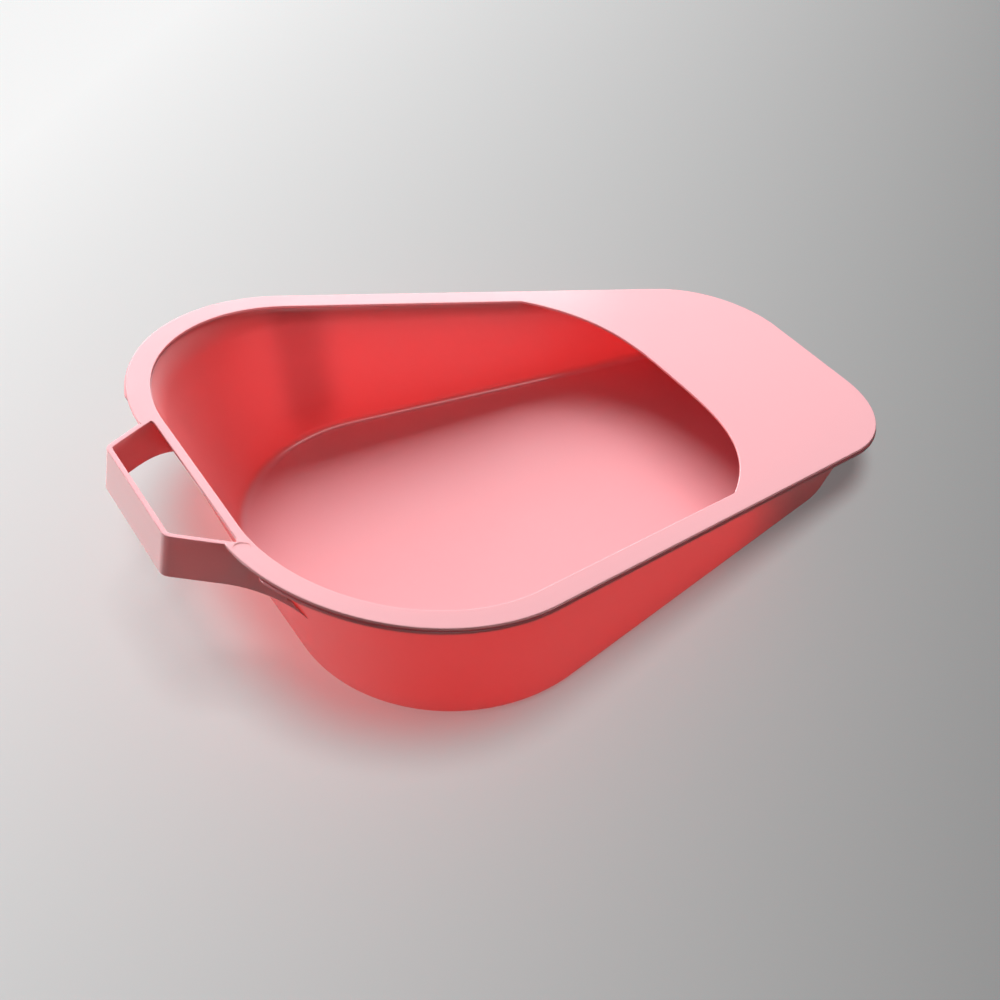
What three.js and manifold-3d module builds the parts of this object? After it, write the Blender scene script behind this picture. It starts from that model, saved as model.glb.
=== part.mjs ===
// Slipper bedpan in pink polypropylene. Millimetres, +Z up, resting on Z = 0, with the origin at the
// centre of its footprint and +X towards the low seat end.
//
// It is two mouldings, welded together all round the rim:
//   basin       the bowl, its narrow welding flange, and the rib that stands on the flange
//   seat_frame  the sloping rim plate, the seat over the low end, and the strap handle
//
// The rim frame is a second frame used below: u runs down the slope of the rim from the edge of the
// deep end, v is the pan's Y, and n stands square to the rim plate, with n = 0 on its top face.
import * as THREE from 'three';
import { mergeVertices } from 'three/addons/utils/BufferGeometryUtils.js';
import Module from 'manifold-3d';

const wasm = await Module();
wasm.setup();

// ---------------------------------------------------------------- driving dimensions

const RIM_TILT = THREE.MathUtils.degToRad(11.9);
const DEEP_HEIGHT = 98.5; // top of the rim above the ground at the edge of the deep end

// Each outline is a trapezoid with rounded corners. halfWidth is measured where the outline starts,
// and taper is how much it narrows for each millimetre along X.
const RIM = { start: 0, end: 356, halfWidth: 147.4, taper: 0.21, deepRadius: 88.5, lowRadius: 54.9 };
const BASE = { start: 35.9, end: 319.8, halfWidth: 122.2, taper: 0.202, deepRadius: 75.9, lowRadius: 42 };

const WALL = 2.4;
const FLOOR = 2.4;
const OUTER_FILLET = 4.5;
const INNER_FILLET = 4;
const RIM_WIDTH = 10.7; // from the outer edge of the rim to the inside of the bowl

const PLATE = 1.4; // thickness of the rim plate and the seat
const JOINT_GAP = 0.3; // between the two mouldings, where the weld is
const FLANGE = 1.1; // thickness of the basin's flange
const RIB = { inset: 4.4, width: 1.2, height: 0.7, play: 0.3 }; // on the flange, in a groove

const SEAT = { corner: 227.4, depth: 34.7, power: 3.3 }; // the curved front edge of the seat

const HANDLE = {
  offset: -4, // the handle's middle, along Y
  height: 19.8,
  thickness: 2.4,
  grip: { u: -17.2, half: 30.6 }, // centre line of the strap at the grip's corners
  root: { u: -1.2, half: 40.6 }, // where the arms pass under the edge of the rim
  brace: { u: 32, half: 60 }, // where the arms end, inside the wall of the bowl
  cornerRadius: 4,
  bendRadius: 60, // the slight bend in each arm, at the root
  flareRadius: 44, // of the curve that the arms' lower edge follows down to the wall
  wallEdge: 6.8, // the finger slot's edge beside the bowl
  slotRadius: 3,
};
const FLANGE_STOP = 60; // the basin's flange stops this far each side of the handle's middle
const FLANGE_STUB = 0.15; // what is left of it on the wall between those stops
const FLARE_STEPS = 14;
const CUT = 10; // how far a cutting tool carries on past what it cuts

const PINK = new THREE.Color('#f7b2b8');

// ---------------------------------------------------------------- outlines

function line(from, to, steps) {
  return Array.from({ length: steps }, (_, i) => from.clone().lerp(to, i / steps));
}

function arc(centre, radius, startAngle, endAngle, steps) {
  return Array.from({ length: steps }, (_, i) => {
    const angle = startAngle + ((endAngle - startAngle) * i) / steps;
    return new THREE.Vector2(Math.cos(angle), Math.sin(angle)).multiplyScalar(radius).add(centre);
  });
}

// A rounded trapezoid, counter-clockwise from the middle of its deep end, moved inwards by inset.
// Every outline has the same number of points on each line and arc, so two of them can be lofted.
function roundedTrapezoid({ start, end, halfWidth, taper, deepRadius, lowRadius }, inset = 0) {
  const slant = Math.hypot(1, taper);
  const sideAngle = Math.PI / 2 - Math.atan(taper);
  const cornerCentre = (x, radius) =>
    new THREE.Vector2(x, halfWidth - taper * (x - start) - radius * slant);
  const deep = cornerCentre(start + deepRadius, deepRadius);
  const low = cornerCentre(end - lowRadius, lowRadius);
  const rounding = { deep: deepRadius - inset, low: lowRadius - inset };
  const along = new THREE.Vector2(Math.cos(sideAngle), Math.sin(sideAngle));

  const half = [
    ...line(new THREE.Vector2(start + inset, 0), new THREE.Vector2(start + inset, deep.y), 3),
    ...arc(deep, rounding.deep, Math.PI, sideAngle, 12),
    ...line(
      along.clone().multiplyScalar(rounding.deep).add(deep),
      along.clone().multiplyScalar(rounding.low).add(low),
      5,
    ),
    ...arc(low, rounding.low, sideAngle, 0, 9),
    ...line(new THREE.Vector2(end - inset, low.y), new THREE.Vector2(end - inset, 0), 2),
    new THREE.Vector2(end - inset, 0),
  ];
  const mirrored = half.map((point) => new THREE.Vector2(point.x, -point.y));
  return [...mirrored, ...half.slice(1, -1).reverse()];
}

// The mouth of the pan: the inside of the rim, closed off by the curved front edge of the seat.
function mouthOutline() {
  const inside = roundedTrapezoid(RIM, RIM_WIDTH);
  const slant = Math.hypot(1, RIM.taper);
  const cornerY = RIM.halfWidth - RIM_WIDTH * slant - RIM.taper * SEAT.corner;
  const steps = 28;
  const seatEdge = Array.from({ length: steps + 1 }, (_, i) => {
    const across = Math.sin(((i / steps) * 2 - 1) * (Math.PI / 2));
    const reach = SEAT.corner + SEAT.depth * (1 - Math.abs(across) ** SEAT.power);
    return new THREE.Vector2(reach, across * cornerY);
  });
  const deepPart = inside.filter((point) => point.x < SEAT.corner - 1);
  const nearSide = deepPart.filter((point) => point.y <= 0);
  const farSide = deepPart.filter((point) => point.y > 0);
  return [...nearSide, ...seatEdge, ...farSide];
}

// A run of points with its corners rounded: each of the middle points has a radius of its own.
function roundedRun(points, radii) {
  const run = [points[0].clone()];
  for (let i = 1; i < points.length - 1; i += 1) {
    if (radii[i] === 0) {
      run.push(points[i].clone());
      continue;
    }
    const before = points[i - 1].clone().sub(points[i]).normalize();
    const after = points[i + 1].clone().sub(points[i]).normalize();
    const halfAngle = Math.acos(THREE.MathUtils.clamp(before.dot(after), -1, 1)) / 2;
    const reach = radii[i] / Math.tan(halfAngle);
    const enter = before.multiplyScalar(reach).add(points[i]);
    const leave = after.multiplyScalar(reach).add(points[i]);
    run.push(...new THREE.QuadraticBezierCurve(enter, points[i], leave).getPoints(6));
  }
  run.push(points[points.length - 1].clone());
  return run;
}

// The outline of a strip of even thickness along a run of points.
function stripOutline(run, thickness) {
  const sides = { left: [], right: [] };
  run.forEach((point, i) => {
    const from = run[Math.max(i - 1, 0)];
    const to = run[Math.min(i + 1, run.length - 1)];
    const along = to.clone().sub(from).normalize();
    const across = new THREE.Vector2(-along.y, along.x).multiplyScalar(thickness / 2);
    sides.left.push(point.clone().add(across));
    sides.right.push(point.clone().sub(across));
  });
  return [...sides.right, ...sides.left.reverse()];
}

// ---------------------------------------------------------------- solids

function toSolid(geometry) {
  const bare = geometry.index ? geometry.toNonIndexed() : geometry.clone();
  bare.deleteAttribute('normal');
  bare.deleteAttribute('uv');
  const merged = mergeVertices(bare, 1e-4);
  return new wasm.Manifold(
    new wasm.Mesh({
      numProp: 3,
      vertProperties: new Float32Array(merged.attributes.position.array),
      triVerts: new Uint32Array(merged.index.array),
    }),
  );
}

function toGeometry(solid) {
  const mesh = solid.getMesh();
  const geometry = new THREE.BufferGeometry();
  geometry.setAttribute('position', new THREE.BufferAttribute(mesh.vertProperties, 3));
  geometry.setIndex(new THREE.BufferAttribute(mesh.triVerts, 1));
  geometry.computeVertexNormals();
  return geometry;
}

// A flat outline pushed up from z = low to z = high.
function prism(outline, low, high, holes = []) {
  const shape = new THREE.Shape(outline);
  shape.holes = holes.map((hole) => new THREE.Path(hole));
  const geometry = new THREE.ExtrudeGeometry(shape, { depth: high - low, bevelEnabled: false });
  return toSolid(geometry.translate(0, 0, low));
}

// A skin through rings of equal length, from the first ring outwards and round to the last one.
// The first and the last ring are flat and are each closed by a fan.
function loft(rings) {
  const count = rings[0].length;
  const centreOf = (ring) =>
    ring.reduce((sum, point) => sum.add(point), new THREE.Vector3()).divideScalar(count);
  const vertices = [...rings.flat(), centreOf(rings[0]), centreOf(rings[rings.length - 1])];
  const firstCentre = rings.length * count;
  const lastCentre = firstCentre + 1;
  const lastRing = (rings.length - 1) * count;
  const faces = [];
  for (let i = 0; i < count; i += 1) {
    const next = (i + 1) % count;
    faces.push(firstCentre, next, i);
    for (let ring = 0; ring < rings.length - 1; ring += 1) {
      const low = ring * count;
      const high = low + count;
      faces.push(low + i, low + next, high + next, low + i, high + next, high + i);
    }
    faces.push(lastCentre, lastRing + i, lastRing + next);
  }
  const geometry = new THREE.BufferGeometry();
  geometry.setAttribute(
    'position',
    new THREE.Float32BufferAttribute(vertices.flatMap((point) => point.toArray()), 3),
  );
  geometry.setIndex(faces);
  return toSolid(geometry);
}

// ---------------------------------------------------------------- the bowl's surfaces

const rimToPan = new THREE.Matrix4()
  .makeTranslation(0, 0, DEEP_HEIGHT)
  .multiply(new THREE.Matrix4().makeRotationY(RIM_TILT));

function rimRing(inset, n) {
  return roundedTrapezoid(RIM, inset).map((point) =>
    new THREE.Vector3(point.x, point.y, n).applyMatrix4(rimToPan),
  );
}

function baseRing(inset, z = 0) {
  return roundedTrapezoid(BASE, inset).map((point) => new THREE.Vector3(point.x, point.y, z));
}

// The walls are straight lines from the base outline, on the ground, to the outline where the wall
// meets the top of the rim. skin is how far inside the wall's outer face the surface lies.
const OUTER_SKIN = RIM_WIDTH - WALL;

function wallLines(skin) {
  const feet = baseRing(skin);
  const heads = rimRing(OUTER_SKIN + skin, 0);
  return feet.map((foot, i) => ({ foot, head: heads[i] }));
}

// The wall at one height above the ground.
function wallAtHeight(skin, z) {
  return wallLines(skin).map(({ foot, head }) => foot.clone().lerp(head, z / head.z));
}

// The wall where it crosses a plane parallel to the rim plate.
const rimNormal = new THREE.Vector3(Math.sin(RIM_TILT), 0, Math.cos(RIM_TILT));

function wallAtDepth(skin, n) {
  return wallLines(skin).map(({ foot, head }) => {
    const depth = head.clone().sub(foot).dot(rimNormal);
    return foot.clone().lerp(head, 1 + n / depth);
  });
}

// The space inside the wall's outer face, moved out by clearance and carried on past both ends.
function bowlEnvelope(clearance) {
  return loft([wallAtHeight(-clearance, -CUT), wallAtDepth(-clearance, CUT)]);
}

// The rings that turn a floor at height z into a wall, round a fillet.
function filletRings(skin, z, radius) {
  const steps = 4;
  return Array.from({ length: steps + 1 }, (_, i) => {
    const angle = ((i / steps) * Math.PI) / 2;
    return wallAtHeight(skin + radius * (1 - Math.sin(angle)), z + radius * (1 - Math.cos(angle)));
  });
}

// ---------------------------------------------------------------- the handle's outlines

function handlePoint(u, half, side) {
  return new THREE.Vector2(u, HANDLE.offset + side * half);
}

// The stretch of the deep end where the basin has no flange: a block, square to the rim.
function handleZone() {
  const corners = [
    handlePoint(-CUT, FLANGE_STOP, -1),
    handlePoint(HANDLE.brace.u, FLANGE_STOP, -1),
    handlePoint(HANDLE.brace.u, FLANGE_STOP, 1),
    handlePoint(-CUT, FLANGE_STOP, 1),
  ];
  return prism(corners, -CUT, CUT);
}

function strapRun() {
  const { grip, root, brace, cornerRadius, bendRadius } = HANDLE;
  const arm = (side) => [
    handlePoint(brace.u, brace.half, side),
    handlePoint(root.u, root.half, side),
    handlePoint(grip.u, grip.half, side),
  ];
  return roundedRun(
    [...arm(-1), ...arm(1).reverse()],
    [0, bendRadius, cornerRadius, cornerRadius, bendRadius, 0],
  );
}

// How much deeper an arm is at u than the strap is at the grip.
function armFlare(u) {
  const { flareRadius } = HANDLE;
  return flareRadius - Math.sqrt(flareRadius ** 2 - Math.max(u, 0) ** 2);
}

// The space under the strap, as wide as the pan. Its top follows the strap's lower edge.
function underStrap() {
  const { height, grip, brace } = HANDLE;
  const before = grip.u - CUT;
  const deepest = -height - armFlare(brace.u) - CUT;
  const edge = [];
  for (let i = 0; i <= FLARE_STEPS; i++) {
    const u = (brace.u * i) / FLARE_STEPS;
    edge.push(new THREE.Vector2(u, -height - armFlare(u)));
  }
  const profile = [
    new THREE.Vector2(before, deepest),
    new THREE.Vector2(brace.u + CUT, deepest),
    new THREE.Vector2(brace.u + CUT, edge[FLARE_STEPS].y),
    ...edge.reverse(),
    new THREE.Vector2(before, -height),
  ];
  return prism(profile, -RIM.halfWidth, RIM.halfWidth).rotate([90, 0, 0]);
}

// The hole in the rim plate for the finger slot. Round the handle it follows the middle of the strap,
// which then lines it.
function slotOutline() {
  const { grip, root, wallEdge, slotRadius } = HANDLE;
  const slope = (root.half - grip.half) / (root.u - grip.u);
  const wallHalf = grip.half + slope * (wallEdge - grip.u);
  const corners = [
    handlePoint(grip.u, 0, -1),
    handlePoint(grip.u, grip.half, -1),
    handlePoint(wallEdge, wallHalf, -1),
    handlePoint(wallEdge, wallHalf, 1),
    handlePoint(grip.u, grip.half, 1),
    handlePoint(grip.u, 0, 1),
  ];
  return roundedRun(corners, [0, 0, slotRadius, slotRadius, 0, 0]).slice(0, -1);
}

// ---------------------------------------------------------------- basin

const FLANGE_TOP = -PLATE - JOINT_GAP;
const FLANGE_UNDER = FLANGE_TOP - FLANGE;

function basinSolid() {
  const ribTop = FLANGE_TOP + RIB.height;
  const shell = loft([
    ...filletRings(0, 0, OUTER_FILLET),
    wallAtDepth(0, FLANGE_UNDER),
    rimRing(0, FLANGE_UNDER),
    rimRing(0, FLANGE_TOP),
    rimRing(RIB.inset, FLANGE_TOP),
    rimRing(RIB.inset, ribTop),
    rimRing(RIB.inset + RIB.width, ribTop),
    rimRing(RIB.inset + RIB.width, FLANGE_TOP),
    wallAtDepth(WALL, FLANGE_TOP),
    ...filletRings(WALL, FLOOR, INNER_FILLET).reverse(),
  ]);

  // At the handle the flange is left off, so that the strap can run in under the rim to the wall.
  const outside = handleZone().transform(rimToPan.elements).subtract(bowlEnvelope(FLANGE_STUB));
  return shell.subtract(outside);
}

// ---------------------------------------------------------------- seat frame

function seatFrameSolid() {
  const slot = prism(slotOutline(), -CUT, CUT);
  const plate = prism(roundedTrapezoid(RIM), -PLATE, 0, [mouthOutline()]).subtract(slot);

  // Level with the plate the strap lines the slot. Below it the arms run on to the wall of the bowl.
  const strapLow = -HANDLE.height - armFlare(HANDLE.brace.u);
  const strip = prism(stripOutline(strapRun(), HANDLE.thickness), strapLow, 0);
  const strap = strip.subtract(underStrap());
  const bowl = bowlEnvelope(FLANGE_STUB + JOINT_GAP).transform(
    rimToPan.clone().invert().elements,
  );
  const lining = strap.trimByPlane([-1, 0, 0], -HANDLE.wallEdge - HANDLE.thickness / 2);
  const arms = strap.trimByPlane([0, 0, -1], PLATE / 2).subtract(bowl);

  // The groove for the rib stops with the flange, short of the handle.
  const groove = prism(
    roundedTrapezoid(RIM, RIB.inset - RIB.play),
    -CUT,
    FLANGE_TOP + RIB.height + RIB.play,
    [roundedTrapezoid(RIM, RIB.inset + RIB.width + RIB.play)],
  );
  return plate.subtract(groove.subtract(handleZone())).add(lining).add(arms);
}

// ---------------------------------------------------------------- assembly

function moulding(name, solid) {
  const material = new THREE.MeshStandardMaterial({ color: PINK, roughness: 0.35, metalness: 0 });
  const mesh = new THREE.Mesh(toGeometry(solid), material);
  mesh.name = name;
  return mesh;
}

const basin = moulding('basin', basinSolid());

const seatFrame = moulding('seat_frame', seatFrameSolid());
seatFrame.rotation.y = RIM_TILT;
seatFrame.position.z = DEEP_HEIGHT;

// The pan reaches from the foot of the grip to the tip of the seat.
const gripFoot = new THREE.Vector3(HANDLE.grip.u - HANDLE.thickness / 2, 0, -HANDLE.height);
const seatTip = new THREE.Vector3(RIM.end, 0, 0);
const reachX = [gripFoot, seatTip].map((point) => point.applyMatrix4(rimToPan).x);

const bedpan = new THREE.Group();
bedpan.name = 'bedpan';
bedpan.add(basin, seatFrame);
bedpan.position.x = -(reachX[0] + reachX[1]) / 2;

export default bedpan;
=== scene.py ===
"""The looks of a pink polypropylene slipper bedpan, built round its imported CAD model. Metres, +Z up.

Two mouldings are made here, each as one fine mesh in place of its CAD node: the basin, and the
frame of rim, seat and strap handle that is welded on top of it. The rim frame is used for both: u
runs down the slope of the rim from the edge of the deep end, v is Y, and n stands square to the
rim, with n = 0 on the rim's top face.
"""
import math

import bmesh
import bpy
import numpy as np
from mathutils import Matrix, Vector
from mathutils.geometry import delaunay_2d_cdt


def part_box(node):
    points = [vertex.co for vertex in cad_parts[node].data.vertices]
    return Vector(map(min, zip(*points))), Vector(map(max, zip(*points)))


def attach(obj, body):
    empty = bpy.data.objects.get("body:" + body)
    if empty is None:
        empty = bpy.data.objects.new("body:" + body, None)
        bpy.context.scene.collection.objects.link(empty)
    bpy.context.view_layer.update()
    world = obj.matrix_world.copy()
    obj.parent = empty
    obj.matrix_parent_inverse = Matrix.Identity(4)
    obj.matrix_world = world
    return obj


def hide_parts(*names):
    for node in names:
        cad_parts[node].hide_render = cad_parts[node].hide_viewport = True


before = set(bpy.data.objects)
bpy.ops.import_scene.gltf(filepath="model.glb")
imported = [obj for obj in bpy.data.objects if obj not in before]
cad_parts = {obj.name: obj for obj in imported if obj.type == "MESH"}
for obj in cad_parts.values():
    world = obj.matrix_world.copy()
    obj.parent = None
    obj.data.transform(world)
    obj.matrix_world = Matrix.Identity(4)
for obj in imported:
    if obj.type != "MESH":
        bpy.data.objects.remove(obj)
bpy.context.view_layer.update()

# ------------------------------------------------------------------ driving dimensions

TILT = math.radians(11.9)  # slope of the rim

# Each outline is a trapezoid with rounded corners. half_width is measured where the outline starts,
# and taper is how much it narrows for each metre along X.
RIM = dict(
    start=0.0, end=0.356, half_width=0.1474, taper=0.21, deep_radius=0.0885, low_radius=0.0549
)
BASE = dict(
    start=0.0359, end=0.3198, half_width=0.1222, taper=0.202, deep_radius=0.0759, low_radius=0.042
)

WALL = 0.0024
FLOOR = 0.0024
OUTER_FILLET = 0.0045
INNER_FILLET = 0.004
RIM_WIDTH = 0.0107  # from the outer edge of the rim to the inside of the bowl

MOUTH_LIP = 0.0004  # the rim plate hides the joint by reaching this far in over the wall

PLATE = 0.0014
PLATE_EDGE = 0.0005  # radius on the plate's edges
PLATE_SETBACK = 0.0006  # the plate's edge stands back from the flange's by this much
JOINT_GAP = 0.0003
FLANGE = 0.0011
FLANGE_EDGE = 0.0004
FLANGE_STUB = 0.00015  # what is left of the flange at the handle
FLANGE_FADE = (0.058, 0.066)  # how far from the handle's middle the flange begins, and is whole

SEAT_CORNER = 0.2274  # where the seat's curved edge meets the sides of the rim
SEAT_DEPTH = 0.0347
SEAT_POWER = 3.3  # how flat the middle of that edge is; 2 would be a parabola
SEAT_CORNER_RADIUS = 0.0025

HANDLE_OFFSET = -0.004  # the handle's middle, along Y
STRAP_HEIGHT = 0.0198
STRAP_THICKNESS = 0.0024
STRAP_EDGE = 0.0004
STRAP_STEP = 0.00002  # the strap's top face lies this far under the plate's
GRIP = (-0.0172, 0.0306)  # u and half width of the strap's centre line, at the grip's corners
ROOT = (-0.0012, 0.0406)  # where the arms pass under the edge of the rim
BRACE = (0.032, 0.060)  # where the arms end, inside the bowl's wall
GRIP_RADIUS = 0.004
BEND_RADIUS = 0.06
FLARE_RADIUS = 0.044  # of the curve that the arms' lower edge follows down to the wall
SLOT_EDGE = 0.0068  # the finger slot's edge beside the bowl
SLOT_RADIUS = 0.003

# How many steps each curve or straight run of an outline, an edge or a wall is drawn in.
OUTLINE_STEPS = dict(deep_end=12, deep_corner=56, side=40, low_corner=32, low_end=10)
SEAT_STEPS = 96
TURN_STEPS = 12
ARM_STEPS = 16
PLATE_EDGE_STEPS = 5
FLANGE_EDGE_STEPS = 4
FILLET_STEPS = 10
WALL_STEPS = 6
MARK_STEPS = 40

# The rim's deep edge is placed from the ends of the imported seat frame.
seat_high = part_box("seat_frame")[1]
DEEP_EDGE_X = seat_high.x - RIM["end"] * math.cos(TILT)
DEEP_HEIGHT = seat_high.z - (STRAP_THICKNESS / 2 - GRIP[0]) * math.sin(TILT)

# ------------------------------------------------------------------ outlines, as rows of (x, y)


def line(start, end, steps):
    share = np.arange(steps)[:, None] / steps
    return np.asarray(start) * (1 - share) + np.asarray(end) * share


def arc(centre, radius, start, end, steps):
    angle = start + (end - start) * np.arange(steps) / steps
    return np.asarray(centre) + radius * np.stack([np.cos(angle), np.sin(angle)], axis=1)


def rounded_trapezoid(start, end, half_width, taper, deep_radius, low_radius, inset=0.0):
    """Counter-clockwise from the middle of the deep end, moved inwards by inset. All such outlines
    have the same number of points on each line and arc, so any two can be lofted."""
    steps = OUTLINE_STEPS
    slant = math.hypot(1, taper)
    side_angle = math.pi / 2 - math.atan(taper)
    side = np.array([math.cos(side_angle), math.sin(side_angle)])

    def corner(x, radius):
        return np.array([x, half_width - taper * (x - start) - radius * slant])

    deep = corner(start + deep_radius, deep_radius)
    low = corner(end - low_radius, low_radius)
    deep_end = deep + side * (deep_radius - inset)
    low_end = low + side * (low_radius - inset)
    half = np.concatenate(
        [
            line((start + inset, 0), (start + inset, deep[1]), steps["deep_end"]),
            arc(deep, deep_radius - inset, math.pi, side_angle, steps["deep_corner"]),
            line(deep_end, low_end, steps["side"]),
            arc(low, low_radius - inset, side_angle, 0, steps["low_corner"]),
            line((end - inset, low[1]), (end - inset, 0), steps["low_end"]),
            [(end - inset, 0)],
        ]
    )
    return np.concatenate([half * (1, -1), half[-2:0:-1]])


def rounded_run(points, radii):
    """A run of points with its middle corners rounded, each by its own radius."""
    run = [np.asarray(points[0])]
    for before, here, after, radius in zip(points, points[1:], points[2:], radii):
        here = np.asarray(here)
        back = np.asarray(before) - here
        on = np.asarray(after) - here
        back /= np.linalg.norm(back)
        on /= np.linalg.norm(on)
        reach = radius / math.tan(math.acos(np.clip(back @ on, -1, 1)) / 2)
        for share in np.arange(TURN_STEPS + 1) / TURN_STEPS:
            enter = here + back * reach * (1 - share)
            leave = here + on * reach * share
            run.append(enter * (1 - share) + leave * share)
    run.append(np.asarray(points[-1]))
    return np.array(run)


def moved_out(outline, distance):
    """A closed counter-clockwise outline moved outwards by distance, square to itself."""
    along = np.roll(outline, -1, axis=0) - outline
    along /= np.linalg.norm(along, axis=1)[:, None]
    normal = np.stack([along[:, 1], -along[:, 0]], axis=1)
    before = np.roll(normal, 1, axis=0)
    middle = normal + before
    middle /= np.linalg.norm(middle, axis=1)[:, None]
    return outline + middle * (distance / np.sum(middle * normal, axis=1))[:, None]


def mouth_outline():
    """The inside of the rim, closed off by the seat's curved edge."""
    width = RIM_WIDTH + MOUTH_LIP
    inside = rounded_trapezoid(**RIM, inset=width)
    slant = math.hypot(1, RIM["taper"])
    corner_y = RIM["half_width"] - width * slant - RIM["taper"] * SEAT_CORNER
    across = np.sin(np.linspace(-math.pi / 2, math.pi / 2, SEAT_STEPS + 1))
    reach = SEAT_CORNER + SEAT_DEPTH * (1 - np.abs(across) ** SEAT_POWER)
    seat_edge = np.stack([reach, across * corner_y], axis=1)

    deep_part = inside[inside[:, 0] < SEAT_CORNER - 2 * SEAT_CORNER_RADIUS]
    near_side = deep_part[deep_part[:, 1] <= 0]
    far_side = deep_part[deep_part[:, 1] > 0]
    clear = np.hypot(*(seat_edge - seat_edge[0]).T) > 2 * SEAT_CORNER_RADIUS
    clear &= np.hypot(*(seat_edge - seat_edge[-1]).T) > 2 * SEAT_CORNER_RADIUS
    edge = seat_edge[clear]
    near_turn = rounded_run([near_side[-1], seat_edge[0], edge[0]], [SEAT_CORNER_RADIUS])
    far_turn = rounded_run([edge[-1], seat_edge[-1], far_side[0]], [SEAT_CORNER_RADIUS])
    return np.concatenate([near_side, near_turn[1:-1], edge, far_turn[1:-1], far_side])


def handle_point(place, side):
    u, half = place
    return np.array([u, HANDLE_OFFSET + side * half])


def strap_outline():
    """The strap seen square to the rim: a strip of even thickness along its centre line."""
    near = [handle_point(place, -1) for place in (BRACE, ROOT, GRIP)]
    far = [handle_point(place, 1) for place in (GRIP, ROOT, BRACE)]
    run = rounded_run(near + far, [BEND_RADIUS, GRIP_RADIUS, GRIP_RADIUS, BEND_RADIUS])
    near_arm = line(run[0], run[1], ARM_STEPS)
    far_arm = line(run[-2], run[-1], ARM_STEPS)
    run = np.concatenate([near_arm, run[1:-1], far_arm[1:], run[-1:]])
    along = np.gradient(run, axis=0)
    along /= np.linalg.norm(along, axis=1)[:, None]
    across = np.stack([-along[:, 1], along[:, 0]], axis=1) * STRAP_THICKNESS / 2
    return np.concatenate([run - across, (run + across)[::-1]])


def plate_outline():
    """The rim's outline, with the finger slot as a notch in its deep end. The strap's arms cross
    the corners of the notch."""
    slope = (ROOT[1] - GRIP[1]) / (ROOT[0] - GRIP[0])

    def on_arm(u, side):
        return handle_point((u, GRIP[1] + slope * (u - GRIP[0])), side)

    corners = [on_arm(u, side) for u, side in ((0, 1), (SLOT_EDGE, 1), (SLOT_EDGE, -1), (0, -1))]
    notch = rounded_run(corners, [SLOT_RADIUS, SLOT_RADIUS])
    rim = rounded_trapezoid(**RIM, inset=PLATE_SETBACK)
    inside = (rim[:, 1] > corners[3][1]) & (rim[:, 1] < corners[0][1])
    inside &= rim[:, 0] < SLOT_EDGE
    return np.concatenate([rim[~inside], notch])


# ------------------------------------------------------------------ surfaces of the bowl

RIM_TO_ROW = Matrix.Translation((DEEP_EDGE_X, 0, DEEP_HEIGHT)) @ Matrix.Rotation(TILT, 4, "Y")
RIM_NORMAL = np.array([math.sin(TILT), 0, math.cos(TILT)])
OUTER_SKIN = RIM_WIDTH - WALL


def in_row(points):
    """Rim frame to row frame."""
    matrix = np.array(RIM_TO_ROW)
    return points @ matrix[:3, :3].T + matrix[:3, 3]


def at_height(outline, n):
    return np.column_stack([outline, np.full(len(outline), n)])


def rim_ring(inset, n):
    return in_row(at_height(rounded_trapezoid(**RIM, inset=inset), n))


def wall_ends(skin):
    """The walls are straight lines from the base outline, on the ground, to the outline where they
    meet the top of the rim. skin is how far inside the wall's outer face the surface lies."""
    feet = at_height(rounded_trapezoid(**BASE, inset=skin), 0.0) + (DEEP_EDGE_X, 0, 0)
    return feet, rim_ring(OUTER_SKIN + skin, 0.0)


def wall_at_height(skin, z):
    feet, heads = wall_ends(skin)
    return feet + (heads - feet) * (z / heads[:, 2:])


def wall_at_depth(skin, n):
    feet, heads = wall_ends(skin)
    depth = (heads - feet) @ RIM_NORMAL
    return heads + (heads - feet) * (n / depth)[:, None]


def fillet_rings(skin, z, radius):
    """The rings that turn a floor at height z into a wall, from the floor up."""
    angles = np.linspace(0, math.pi / 2, FILLET_STEPS + 1)
    return [
        wall_at_height(skin + radius * (1 - math.sin(a)), z + radius * (1 - math.cos(a)))
        for a in angles
    ]


def between(low_ring, high_ring):
    """Rings spaced evenly up a wall, without the two at its ends."""
    shares = np.arange(1, WALL_STEPS) / WALL_STEPS
    return [low_ring + (high_ring - low_ring) * share for share in shares]


# ------------------------------------------------------------------ meshes


def new_piece(name, mesh):
    piece = bpy.data.objects.new(name, mesh)
    bpy.context.scene.collection.objects.link(piece)
    return piece


def loft(name, rings):
    """A closed skin through rings of equal length, with a flat face on the first and the last."""
    count = len(rings[0])
    faces = [tuple(range(count - 1, -1, -1))]
    for ring in range(len(rings) - 1):
        low, high = ring * count, (ring + 1) * count
        for i in range(count):
            after = (i + 1) % count
            faces.append((low + i, low + after, high + after, high + i))
    faces.append(tuple(range((len(rings) - 1) * count, len(rings) * count)))
    mesh = bpy.data.meshes.new(name)
    mesh.from_pydata(np.concatenate(rings).tolist(), [], faces)
    return new_piece(name, mesh)


SAME_POINT = 1e-7  # corners closer than this count as one


def flat_faces(loops):
    """Triangles that fill a flat outline, the first of the loops, round the holes in the others."""
    points = [Vector(point) for loop in loops for point in loop]
    starts = np.cumsum([0] + [len(loop) for loop in loops])
    faces = [list(range(low, high)) for low, high in zip(starts, starts[1:])]
    _, _, triangles, sources, _, inside = delaunay_2d_cdt(points, [], faces, 0, SAME_POINT)
    kept = [corners for corners, owners in zip(triangles, inside) if owners == [0]]
    return [[sources[i][0] for i in corners] for corners in kept]


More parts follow.
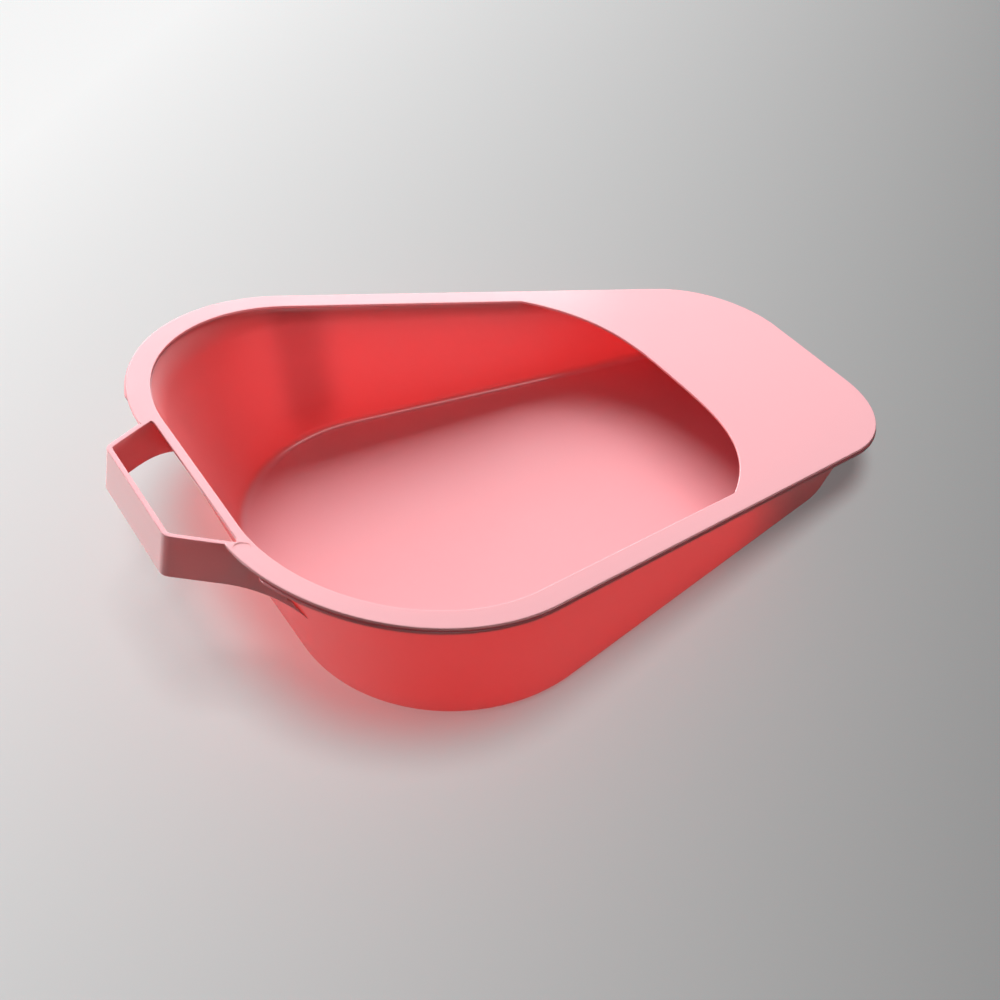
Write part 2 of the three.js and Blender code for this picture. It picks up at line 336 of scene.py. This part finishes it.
def plate(name, outline, holes, low, high, edge):
    """A flat plate in the rim frame, from n = low to n = high, with its edges rounded."""
    turns = np.linspace(0, math.pi / 2, PLATE_EDGE_STEPS + 1)
    profile = [(edge * (1 - math.sin(a)), low + edge * (1 - math.cos(a))) for a in turns]
    profile += [(edge * (1 - math.cos(a)), high - edge * (1 - math.sin(a))) for a in turns]
    bm = bmesh.new()
    top, bottom = [], []

    def ring_of(contour, n):
        return [bm.verts.new(point) for point in at_height(contour, n)]

    def strip(lower, upper, flip=False):
        for i in range(len(lower)):
            after = (i + 1) % len(lower)
            corners = [lower[i], lower[after], upper[after], upper[i]]
            bm.faces.new(corners[::-1] if flip else corners)

    def fill(rings, flip):
        verts = [vert for ring in rings for vert in ring]
        for corners in flat_faces([[vert.co.xy for vert in ring] for ring in rings]):
            face = [verts[i] for i in corners]
            bm.faces.new(face[::-1] if flip else face)

    for contour in [outline, *holes]:
        is_hole = contour is not outline
        sign = 1 if is_hole else -1
        rings = [ring_of(moved_out(contour, sign * inset), n) for inset, n in profile]
        bottom.append(rings[0])
        top.append(rings[-1])
        for lower, upper in zip(rings, rings[1:]):
            strip(lower, upper, is_hole)

    fill(top, False)
    fill(bottom, True)
    mesh = bpy.data.meshes.new(name)
    bm.to_mesh(mesh)
    bm.free()
    mesh.transform(RIM_TO_ROW)
    return new_piece(name, mesh)


def combine(piece, tool, operation):
    """Cuts the tool from the piece or joins it on, and takes the tool away."""
    modifier = piece.modifiers.new("Combine", "BOOLEAN")
    modifier.operation = operation
    modifier.solver = "MANIFOLD"
    modifier.object = tool
    evaluated = piece.evaluated_get(bpy.context.evaluated_depsgraph_get())
    result = bpy.data.meshes.new_from_object(evaluated)
    piece.modifiers.clear()
    piece.data = result
    bpy.data.objects.remove(tool)


def finish_surface(piece):
    """Smooth shading in which each flat face keeps its own flat normal."""
    piece.data.shade_smooth()
    modifier = piece.modifiers.new("Normals", "WEIGHTED_NORMAL")
    modifier.keep_sharp = True
    modifier.weight = 100


# ------------------------------------------------------------------ basin

FLANGE_TOP = -PLATE - JOINT_GAP
FLANGE_UNDER = FLANGE_TOP - FLANGE


def flange_ring(inset, n):
    """The flange fades into the wall on both sides of the handle."""
    whole = rim_ring(inset, n)
    stub = wall_at_depth(-FLANGE_STUB, n)
    low, high = FLANGE_FADE
    share = np.clip((np.abs(whole[:, 1] - HANDLE_OFFSET) - low) / (high - low), 0, 1)
    share = share * share * (3 - 2 * share)
    share[whole[:, 0] > DEEP_EDGE_X + RIM["deep_radius"]] = 1
    return stub + (whole - stub) * share[:, None]


def make_basin():
    edge = FLANGE_EDGE
    turns = np.linspace(0, math.pi / 2, FLANGE_EDGE_STEPS + 1)
    under = [(edge * (1 - math.sin(a)), FLANGE_UNDER + edge * (1 - math.cos(a))) for a in turns]
    over = [(edge * (1 - math.cos(a)), FLANGE_TOP - edge * (1 - math.sin(a))) for a in turns]
    outside = fillet_rings(0, 0, OUTER_FILLET)
    inside = fillet_rings(WALL, FLOOR, INNER_FILLET)[::-1]
    outer_top = wall_at_depth(0, FLANGE_UNDER)
    inner_top = wall_at_depth(WALL, FLANGE_TOP)
    rings = [
        *outside,
        *between(outside[-1], outer_top),
        outer_top,
        *[flange_ring(inset, n) for inset, n in under + over],
        inner_top,
        *between(inner_top, inside[0]),
        *inside,
    ]
    return loft("basin_moulding", rings)


# ------------------------------------------------------------------ rim, seat and handle

# The round mark of a moulding pin, a shallow dish where the near arm leaves the rim.
MARK_CENTRE = (0.0066, -0.0512)
MARK_RADII = (0.0034, 0.0026)
MARK_DEPTH = 0.0003
MARK_SLOPE = 0.0003

BOWL_BEYOND = 0.01  # how far the shape that trims the arms reaches past the bowl's foot and top


def mark_ring(growth, n):
    radii = np.array(MARK_RADII) + growth
    circle = arc((0, 0), 1.0, 0, 2 * math.pi, MARK_STEPS)
    return in_row(at_height(circle * radii + MARK_CENTRE, n))


def flare(strap):
    """Takes the arms' lower edge down to the wall of the bowl in a curve."""
    to_rim = RIM_TO_ROW.inverted()
    for vertex in strap.data.vertices:
        place = to_rim @ vertex.co
        if place.z < -STRAP_HEIGHT / 2:
            place.z -= FLARE_RADIUS - math.sqrt(FLARE_RADIUS**2 - max(place.x, 0) ** 2)
            vertex.co = RIM_TO_ROW @ place


def make_seat_frame():
    outline = plate_outline()
    piece = plate("seat_frame_moulding", outline, [mouth_outline()], -PLATE, 0.0, PLATE_EDGE)
    strap = plate("strap", strap_outline(), [], -STRAP_HEIGHT, -STRAP_STEP, STRAP_EDGE)
    flare(strap)
    clearance = FLANGE_STUB + JOINT_GAP / 2
    bowl = loft(
        "bowl", [wall_at_height(-clearance, -BOWL_BEYOND), wall_at_depth(-clearance, BOWL_BEYOND)]
    )
    combine(strap, bowl, "DIFFERENCE")
    combine(piece, strap, "UNION")
    mark = loft("mark", [mark_ring(0, -MARK_DEPTH), mark_ring(MARK_SLOPE, MARK_DEPTH)])
    combine(piece, mark, "DIFFERENCE")
    return piece


# ------------------------------------------------------------------ materials

BASIN_PLASTIC = dict(flat_colour=(0.97, 0.455, 0.495), wall_glow=0.43, corner_shade_glow=0.6)
RIM_PLASTIC = dict(flat_colour=(0.98, 0.52, 0.56), wall_glow=0.22, corner_shade_glow=1)
WALL_SHADE_COLOUR = (0.92, 0.47, 0.48)  # painted shade: steep faces get a darker, redder base colour than flat ones, standing in for how light falls on walls and comes through them
# Painted shade: the darker colour of a band on the inside of the far wall's deep corner, standing in
# for shade that falls there.
CORNER_SHADE_COLOUR = (0.62, 0.22, 0.23)
PALE_COLOUR = (1.0, 0.62, 0.66)
PALE_SHARE = 0.05  # how much of the pale colour the clouds have at most
GLOW_COLOUR = (1.0, 0.12, 0.11)  # light that has passed through the plastic
FLAT_GLOW = 0.14  # share of the light that passes through a flat face
STEEP, LEVEL = 0.55, 0.92  # size of the normal's Z at which a face counts as a wall, and as flat
CORNER_SHADE_PLACE = -0.057  # where the far wall turns into the deep corner: the middle of a painted shade band there
CORNER_SHADE_SPREAD = 0.016
CORNER_SHADE_SIDE = (0.05, 0.08)  # Y at which the painted shade begins, and is whole
CLOUDS = dict(scale=14.0, detail=3.0)
GLOSS_CLOUDS = dict(scale=60.0, detail=4.0)
PEEL = dict(scale=45.0, detail=2.0)  # the slight unevenness of a moulded face
NOISE_SPREAD = (0.3, 0.7)  # nearly all of a noise texture's values lie in here
ROUGHNESS = (0.21, 0.25)
PEEL_STRENGTH = 0.06
PEEL_DEPTH = 0.0002
POLYPROPYLENE_IOR = 1.49


def paint_corner_shade(piece):
    """Each point's share of the painted shade, a darker band on the inside of the far wall's deep
    corner, kept as a point attribute.
    """
    mesh = piece.data
    points = np.empty(len(mesh.vertices) * 3, dtype=np.float32)
    mesh.vertices.foreach_get("co", points)
    x, y, z = points.reshape(-1, 3).T
    normals = np.empty_like(points)
    mesh.vertex_normals.foreach_get("vector", normals)
    along = np.exp(-(((x - CORNER_SHADE_PLACE) / CORNER_SHADE_SPREAD) ** 2))
    across = np.clip((y - CORNER_SHADE_SIDE[0]) / (CORNER_SHADE_SIDE[1] - CORNER_SHADE_SIDE[0]), 0, 1)
    up = np.clip(z / INNER_FILLET - 1, 0, 1)
    faces_in = normals[1::3] < 0
    attribute = mesh.attributes.new("corner_shade", "FLOAT", "POINT")
    attribute.data.foreach_set("value", (along * across * up * faces_in).astype(np.float32))


class MaterialNodes:
    """A new material, with short calls for the nodes that are used here."""

    def __init__(self, name):
        self.material = bpy.data.materials.new(name)
        self.material.use_nodes = True
        self.nodes = self.material.node_tree.nodes
        self.link = self.material.node_tree.links.new
        self.place = self.nodes.new("ShaderNodeTexCoord").outputs["Object"]

    def ranged(self, source, spread, low, high, curve="SMOOTHSTEP"):
        """Takes the values across spread to those from low to high."""
        node = self.nodes.new("ShaderNodeMapRange")
        node.interpolation_type = curve
        for socket, value in zip(node.inputs[1:5], (*spread, low, high)):
            socket.default_value = value
        self.link(source, node.inputs["Value"])
        return node.outputs["Result"]

    def mixed(self, share, first, second):
        node = self.nodes.new("ShaderNodeMix")
        node.data_type = "RGBA"
        self.link(share, node.inputs["Factor"])
        for socket, value in ((node.inputs["A"], first), (node.inputs["B"], second)):
            if isinstance(value, tuple):
                socket.default_value = (*value, 1)
            else:
                self.link(value, socket)
        return node.outputs["Result"]

    def noise(self, scale, detail):
        node = self.nodes.new("ShaderNodeTexNoise")
        node.inputs["Scale"].default_value = scale
        node.inputs["Detail"].default_value = detail
        self.link(self.place, node.inputs["Vector"])
        return node.outputs["Fac"]

    def product(self, first, second):
        node = self.nodes.new("ShaderNodeMath")
        node.operation = "MULTIPLY"
        self.link(first, node.inputs[0])
        self.link(second, node.inputs[1])
        return node.outputs["Value"]

    def levelness(self):
        """1 on a level face and 0 on a vertical one."""
        geometry = self.nodes.new("ShaderNodeNewGeometry")
        split = self.nodes.new("ShaderNodeSeparateXYZ")
        self.link(geometry.outputs["True Normal"], split.inputs["Vector"])
        node = self.nodes.new("ShaderNodeMath")
        node.operation = "ABSOLUTE"
        self.link(split.outputs["Z"], node.inputs[0])
        return node.outputs["Value"]

    def attribute(self, name):
        node = self.nodes.new("ShaderNodeAttribute")
        node.attribute_name = name
        return node.outputs["Fac"]


def plastic(name, flat_colour, wall_glow, corner_shade_glow):
    """Translucent pink polypropylene. Light that passes through it comes out a deep red."""
    made = MaterialNodes(name)
    level = made.levelness()
    corner_shade = made.attribute("corner_shade")

    # The resin is not mixed quite evenly, and shows faint clouds.
    # Painted shade: a darker band on the inside of the far wall's deep corner, which also lets less
    # light through.
    shaded_wall_colour = made.mixed(made.ranged(corner_shade, (0, 1), 0, 1), WALL_SHADE_COLOUR, CORNER_SHADE_COLOUR)
    # Painted shade: steep faces take the darker, redder wall colour and level faces the pale flat
    # colour, by the normal's steepness.
    colour = made.mixed(made.ranged(level, (STEEP, LEVEL), 0, 1), shaded_wall_colour, flat_colour)
    cloud = made.ranged(made.noise(**CLOUDS), NOISE_SPREAD, 0, PALE_SHARE)
    surface = made.nodes["Principled BSDF"]
    made.link(made.mixed(cloud, colour, PALE_COLOUR), surface.inputs["Base Color"])
    gloss = made.ranged(made.noise(**GLOSS_CLOUDS), NOISE_SPREAD, *ROUGHNESS)
    made.link(gloss, surface.inputs["Roughness"])
    surface.inputs["IOR"].default_value = POLYPROPYLENE_IOR
    bump = made.nodes.new("ShaderNodeBump")
    bump.inputs["Strength"].default_value = PEEL_STRENGTH
    bump.inputs["Distance"].default_value = PEEL_DEPTH
    made.link(made.noise(**PEEL), bump.inputs["Height"])
    made.link(bump.outputs["Normal"], surface.inputs["Normal"])

    through = made.nodes.new("ShaderNodeBsdfTranslucent")
    through.inputs["Color"].default_value = (*GLOW_COLOUR, 1)
    both = made.nodes.new("ShaderNodeMixShader")
    by_steepness = made.ranged(level, (STEEP, LEVEL), wall_glow, FLAT_GLOW)
    by_corner_shade = made.ranged(corner_shade, (0, 1), 1, corner_shade_glow)
    made.link(made.product(by_steepness, by_corner_shade), both.inputs["Fac"])
    made.link(surface.outputs["BSDF"], both.inputs[1])
    made.link(through.outputs["BSDF"], both.inputs[2])
    made.link(both.outputs["Shader"], made.nodes["Material Output"].inputs["Surface"])
    return made.material


# ------------------------------------------------------------------ stage

FLOOR_HALF = 6.0
FLOOR_DROP = 0.0002  # keeps the paper just under the pan's base
FLOOR_FALLOFF_SLOPE = (-0.62, 0.78, 0)  # the way in which the paper's grey is painted lighter: a painted falloff of light, in place of one from the lamps
FLOOR_FALLOFF_GREYS = ((-0.30, 0.44), 0.24, 0.90)  # from where to where along it, and the greys there
FLOOR_ROUGHNESS = 0.7
FLOOR_SPECULAR = 0.1

WORLD_STRENGTH = 0.1
SUN_PLACE = (-0.15, -0.4, 2.2)
SUN_STRENGTH = 3.0
SUN_ANGLE = 0.42
PAN_MIDDLE = (0, 0, 0.05)

CAMERA_AZIMUTH = math.radians(-31.81)  # from -Y, towards -X
CAMERA_ELEVATION = math.radians(41.99)
CAMERA_DISTANCE = 0.7256
CAMERA_LENS = 52.74
CAMERA_AIM = Vector((-0.00167, 0.0113, 0.0))


def make_floor():
    mesh = bpy.data.meshes.new("floor")
    half = FLOOR_HALF
    corners = [(-half, -half, 0), (half, -half, 0), (half, half, 0), (-half, half, 0)]
    mesh.from_pydata(corners, [], [(0, 1, 2, 3)])
    floor = new_piece("floor", mesh)
    floor.location.z = -FLOOR_DROP
    floor.visible_diffuse = False
    made = MaterialNodes("floor")
    # Painted light: the floor's grey grows lighter along one direction, in place of the falloff of a
    # lamp.
    along = made.nodes.new("ShaderNodeVectorMath")
    along.operation = "DOT_PRODUCT"
    along.inputs[1].default_value = FLOOR_FALLOFF_SLOPE
    made.link(made.place, along.inputs[0])
    painted_falloff = made.ranged(along.outputs["Value"], *FLOOR_FALLOFF_GREYS, curve="LINEAR")
    shader = made.nodes["Principled BSDF"]
    made.link(painted_falloff, shader.inputs["Base Color"])
    shader.inputs["Roughness"].default_value = FLOOR_ROUGHNESS
    shader.inputs["Specular IOR Level"].default_value = FLOOR_SPECULAR
    mesh.materials.append(made.material)
    return floor


def collection_of(name, objects):
    group = bpy.data.collections.new(name)
    for member in objects:
        group.objects.link(member)
    return group


def only_on(light, lit, blocked_by=None):
    """The light falls only on these objects. blocked_by names what casts its shadows, if not
    everything does."""
    light.light_linking.receiver_collection = collection_of(light.name + "_on", lit)
    if blocked_by is not None:
        light.light_linking.blocker_collection = collection_of(light.name + "_blockers", blocked_by)


def add_light(data, place, aim):
    light = bpy.data.objects.new(data.name, data)
    light.location = place
    light.rotation_euler = (Vector(aim) - Vector(place)).to_track_quat("-Z", "Y").to_euler()
    light.visible_camera = False
    bpy.context.scene.collection.objects.link(light)
    return light


def area_light(name, place, aim, size, power):
    data = bpy.data.lights.new(name, "AREA")
    data.shape = "RECTANGLE"
    data.size, data.size_y = size
    data.energy = power
    return add_light(data, place, aim)


def floor_sun(name, colour):
    """Even light on the whole floor, from almost straight above."""
    data = bpy.data.lights.new(name, "SUN")
    data.energy = SUN_STRENGTH
    data.angle = SUN_ANGLE
    data.color = colour
    return add_light(data, SUN_PLACE, (0, 0, 0))


def only_gloss(light):
    """The light shows in reflections alone, as a card beside the camera does."""
    light.visible_diffuse = False
    light.visible_transmission = False


def make_camera():
    data = bpy.data.cameras.new("camera")
    data.lens = CAMERA_LENS
    data.sensor_width = 36.0
    camera = bpy.data.objects.new("camera", data)
    back = Vector(
        (
            math.sin(CAMERA_AZIMUTH) * math.cos(CAMERA_ELEVATION),
            -math.cos(CAMERA_AZIMUTH) * math.cos(CAMERA_ELEVATION),
            math.sin(CAMERA_ELEVATION),
        )
    )
    camera.location = CAMERA_AIM + back * CAMERA_DISTANCE
    camera.rotation_euler = back.to_track_quat("Z", "Y").to_euler()
    bpy.context.scene.collection.objects.link(camera)
    bpy.context.scene.camera = camera


def make_world():
    world = bpy.data.worlds.new("studio")
    world.use_nodes = True
    background = world.node_tree.nodes["Background"]
    background.inputs["Color"].default_value = (1, 1, 1, 1)
    background.inputs["Strength"].default_value = WORLD_STRENGTH
    bpy.context.scene.world = world


# ------------------------------------------------------------------ the scene

basin = make_basin()
seat_frame = make_seat_frame()
# Paints the shade band on the inside of the far wall's deep corner.
paint_corner_shade(basin)
basin.data.materials.append(plastic("basin_plastic", **BASIN_PLASTIC))
seat_frame.data.materials.clear()  # an empty slot, left by the boolean solver
seat_frame.data.materials.append(plastic("rim_plastic", **RIM_PLASTIC))
for piece, node, slot in (
    (basin, "basin", "basin_plastic"),
    (seat_frame, "seat_frame", "rim_plastic"),
):
    finish_surface(piece)
    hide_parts(node)
    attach(piece, "root")

floor = make_floor()
make_world()
pan = (basin, seat_frame)

# The soft key light, from behind. Its reflection would be a white glare on the bowl's floor.
key = area_light("key", (0.16, 0.90, 0.86), aim=PAN_MIDDLE, size=(1.0, 1.0), power=30.5)
only_on(key, pan)
key.visible_glossy = False
low_back = area_light("low_back", (0.35, 1.0, 0.22), aim=PAN_MIDDLE, size=(1.0, 0.3), power=5)
only_on(low_back, pan)
left_card = area_light("left_card", (-1.0, 0.55, 0.12), aim=PAN_MIDDLE, size=(0.5, 0.3), power=4.6)
only_on(left_card, pan)
edge_card = area_light("edge_card", (0.5, -0.9, 0.03), aim=PAN_MIDDLE, size=(0.8, 0.1), power=2.5)
only_on(edge_card, (seat_frame,))

# Seen in the plastic's gloss alone: a strip above the near side, and the pale table.
strip = area_light("strip", (0.3, -0.45, 1.2), aim=PAN_MIDDLE, size=(1.2, 0.15), power=6)
only_on(strip, pan)
only_gloss(strip)
table = area_light("table", (-0.33, 0.16, 0.002), aim=(-0.33, 0.16, 1), size=(0.3, 0.3), power=0.4)
only_on(table, pan)
only_gloss(table)

# The floor's light, in shares by what casts a shadow in each. Where the basin alone is in the way
# only the red gets through.
open_floor = floor_sun("open_floor", (0.35, 0.35, 0.35))
only_on(open_floor, (floor,), blocked_by=(floor,))
red_through = floor_sun("red_through", (0.65, 0, 0))
only_on(red_through, (floor,), blocked_by=(seat_frame,))
not_through = floor_sun("not_through", (0, 0.65, 0.65))
only_on(not_through, (floor,), blocked_by=pan)

make_camera()
bpy.context.scene.view_settings.view_transform = "Standard"
